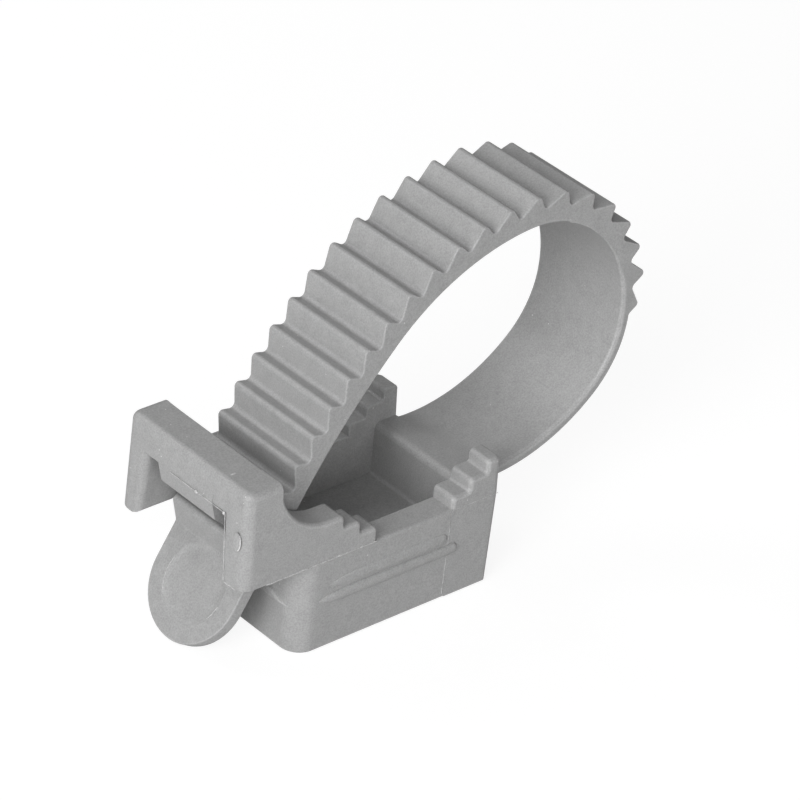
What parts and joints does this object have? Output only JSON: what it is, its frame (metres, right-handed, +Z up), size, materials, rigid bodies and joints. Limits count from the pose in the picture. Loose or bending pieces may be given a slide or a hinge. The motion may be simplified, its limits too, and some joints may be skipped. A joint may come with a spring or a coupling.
{
  "type": "cable tie mount",
  "caption": "Screw-down cable clip moulded in one piece: a small tray with stepped cradles and a toothed strap that loops over the cable and locks in a ratchet at the tray's end.",
  "frame": {"origin": "centre of the screw hole, on the base", "axes": "+X along the tray from the lock to the strap's root, +Y across the tray, +Z up from the base"},
  "size_m": [0.0507, 0.0182, 0.0389],
  "materials": {
    "grey_polyamide": "semi-matt moulded grey polyamide"
  },
  "bodies": {
    "root": {"strap_clip": "grey_polyamide"}
  },
  "joints": []
}
